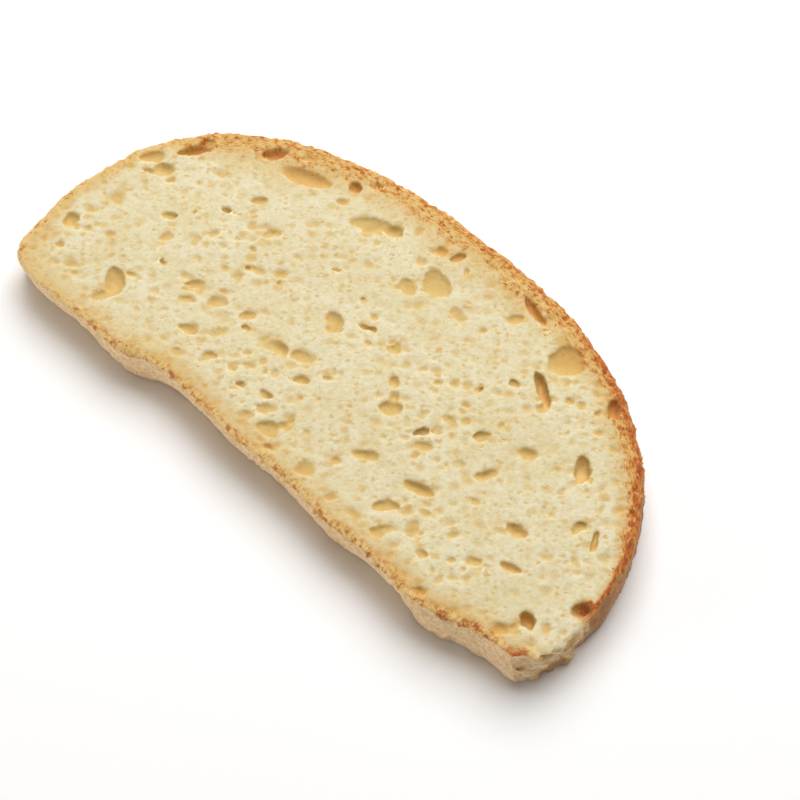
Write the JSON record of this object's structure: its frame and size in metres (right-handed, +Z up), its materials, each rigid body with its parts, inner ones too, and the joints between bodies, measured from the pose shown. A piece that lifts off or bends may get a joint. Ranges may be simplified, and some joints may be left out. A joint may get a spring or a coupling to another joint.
{
  "type": "bread slice",
  "caption": "Hand-cut slice of white country bread with a domed browned crust, a pale floury base crust, an open crumb full of gas bubbles and one torn corner.",
  "frame": {"origin": "under the middle of the slice's box, on the lower cut face that it lies on", "axes": "+X along the loaf's flat base, +Y from the base to the crown of the dome, +Z up out of the upper cut face"},
  "size_m": [0.1808, 0.0912, 0.0133],
  "materials": {
    "bread": "matt porous cream crumb with a granular orange-brown crust rim and a pale floury base crust"
  },
  "bodies": {
    "root": {"bread_slice": "bread"}
  },
  "joints": []
}
